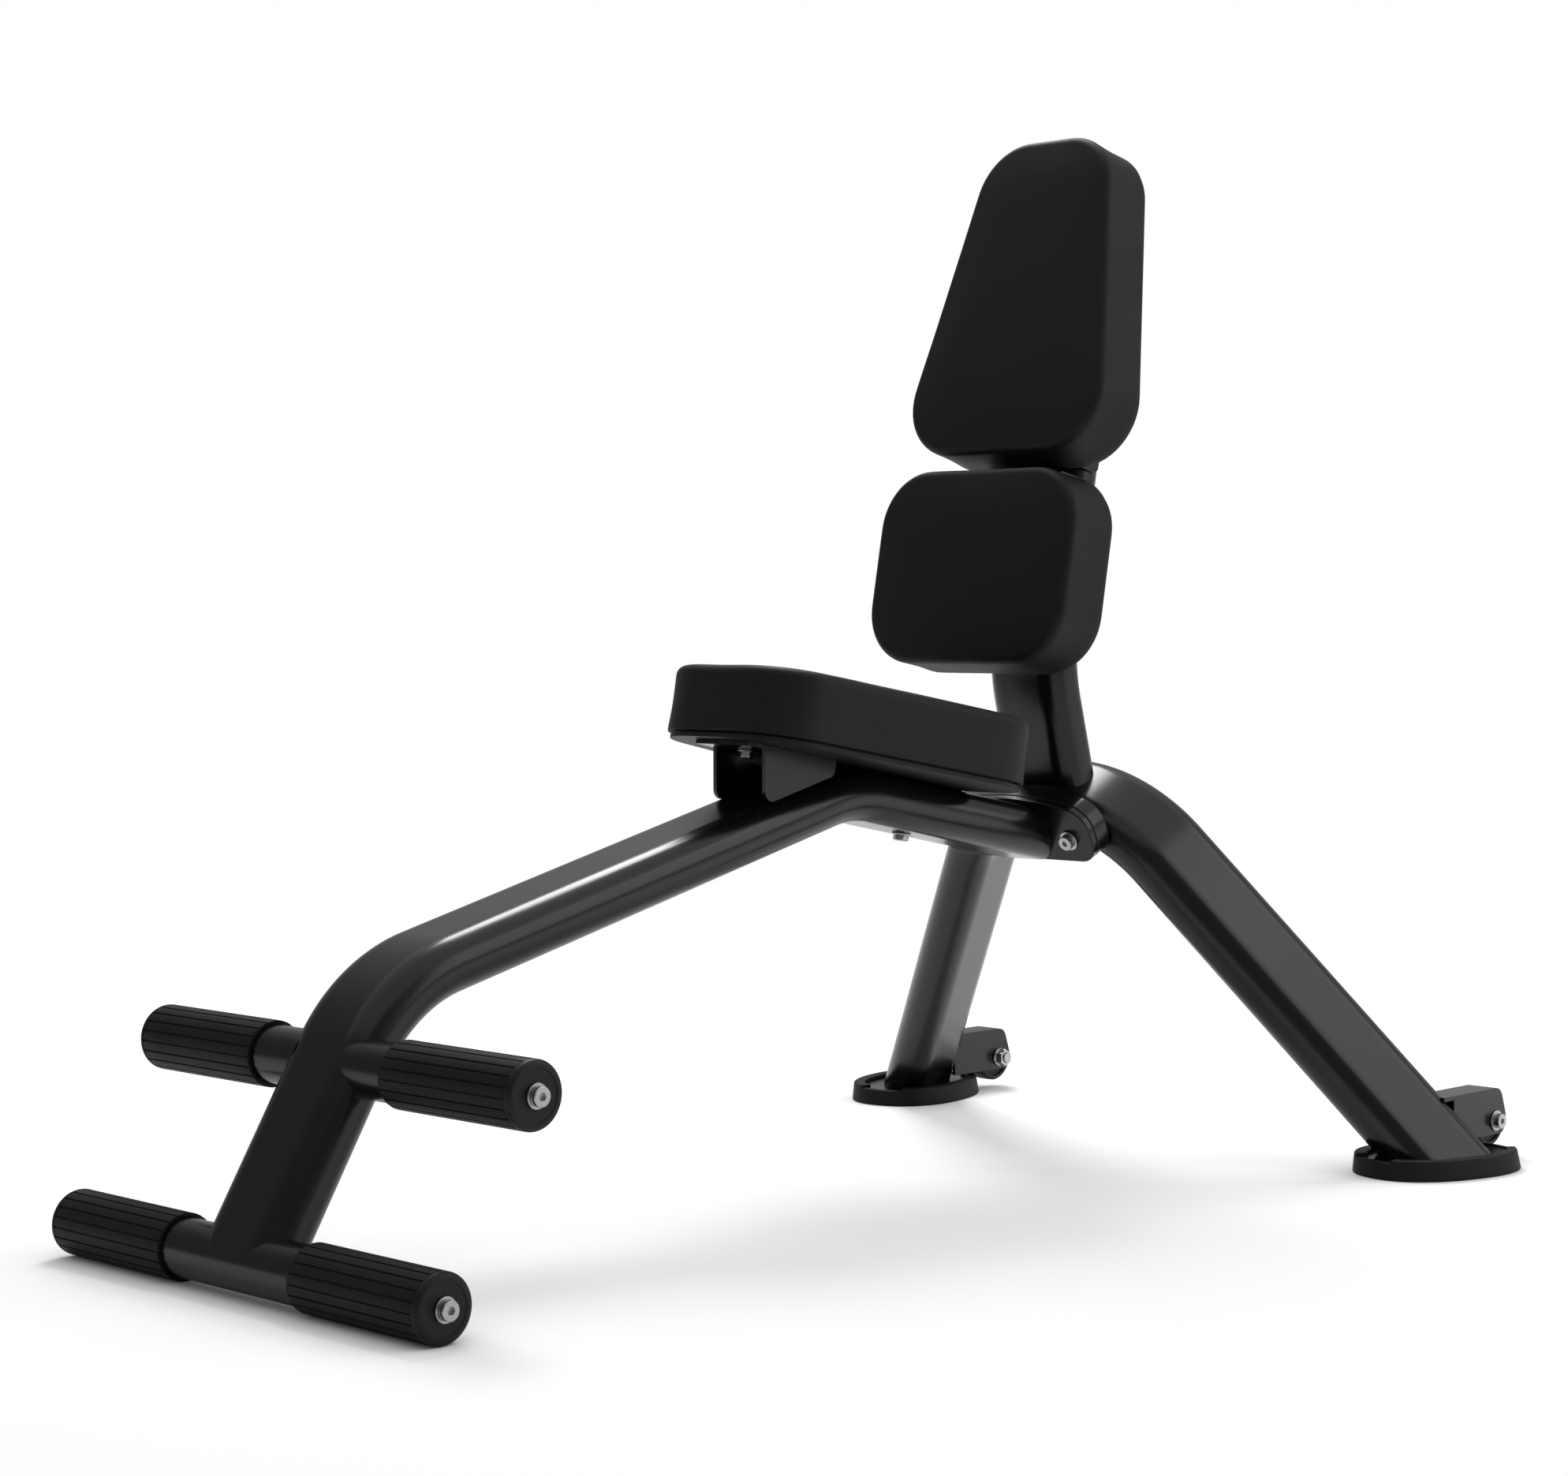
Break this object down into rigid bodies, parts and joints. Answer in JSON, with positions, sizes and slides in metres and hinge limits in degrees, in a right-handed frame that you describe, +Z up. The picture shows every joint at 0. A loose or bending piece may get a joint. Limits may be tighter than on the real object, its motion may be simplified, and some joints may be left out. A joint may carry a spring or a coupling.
{
  "type": "utility bench",
  "caption": "Fixed upright utility bench with tapered seat, lumbar and back pads on a bent flat-oval frame, ribbed floor and ankle rollers, rubber feet and transport wheels.",
  "frame": {"origin": "on the floor, under the centre of the bench's bounding box, on its plane of symmetry", "axes": "+Y towards the back of the bench (behind the back pad), +X to the side that is to the right when looking along +Y, +Z up"},
  "size_m": [0.8004, 1.2924, 0.995],
  "materials": {
    "frame": "satin black powder coat",
    "pad": "matte black synthetic leather",
    "board": "black-stained base board",
    "rubber": "matte black",
    "plastic": "matte black",
    "steel": "bright zinc"
  },
  "bodies": {
    "frame": {"axle_bolt_left": "steel", "axle_bolt_right": "steel", "axle_nut_left": "steel", "axle_nut_right": "steel", "back_board": "board", "back_bolt_lower": "steel", "back_bolt_upper": "steel", "back_bracket": "frame", "back_cushion": "pad", "back_post": "frame", "end_cap_lower_left": "plastic", "end_cap_lower_right": "plastic", "end_cap_upper_left": "plastic", "end_cap_upper_right": "plastic", "foot_plate_left": "frame", "foot_plate_right": "frame", "front_flange": "frame", "front_tube": "frame", "grip_bolt_lower_left": "steel", "grip_bolt_lower_right": "steel", "grip_bolt_upper_left": "steel", "grip_bolt_upper_right": "steel", "grip_nut_plate_lower_left": "steel", "grip_nut_plate_lower_right": "steel", "grip_nut_plate_upper_left": "steel", "grip_nut_plate_upper_right": "steel", "grip_sleeve_lower_left": "rubber", "grip_sleeve_lower_right": "rubber", "grip_sleeve_upper_left": "rubber", "grip_sleeve_upper_right": "rubber", "grip_washer_lower_left": "steel", "grip_washer_lower_right": "steel", "grip_washer_upper_left": "steel", "grip_washer_upper_right": "steel", "hub_bolt_left": "steel", "hub_bolt_right": "steel", "hub_saddle": "frame", "lower_cross_tube": "frame", "lumbar_board": "board", "lumbar_bolt_lower": "steel", "lumbar_bolt_upper": "steel", "lumbar_bracket": "frame", "lumbar_cushion": "pad", "post_cap": "plastic", "rear_arch": "frame", "rubber_foot_left": "rubber", "rubber_foot_right": "rubber", "seat_board": "board", "seat_bolt_front": "steel", "seat_bolt_rear": "steel", "seat_bracket": "frame", "seat_cushion": "pad", "upper_cross_tube_left": "frame", "upper_cross_tube_right": "frame", "wheel_bracket_left": "frame", "wheel_bracket_right": "frame", "wheel_bush_left": "steel", "wheel_bush_right": "steel"},
    "wheel_left": {"wheel_left": "rubber"},
    "wheel_right": {"wheel_right": "rubber"}
  },
  "joints": [
    {"name": "wheel_left_spin", "type": "hinge", "parent": "frame", "child": "wheel_left", "pos_m": [-0.32049, 0.61985, 0.0357], "axis": [1, 0, 0], "continuous": true},
    {"name": "wheel_right_spin", "type": "hinge", "parent": "frame", "child": "wheel_right", "pos_m": [0.32049, 0.61985, 0.0357], "axis": [1, 0, 0], "continuous": true}
  ]
}
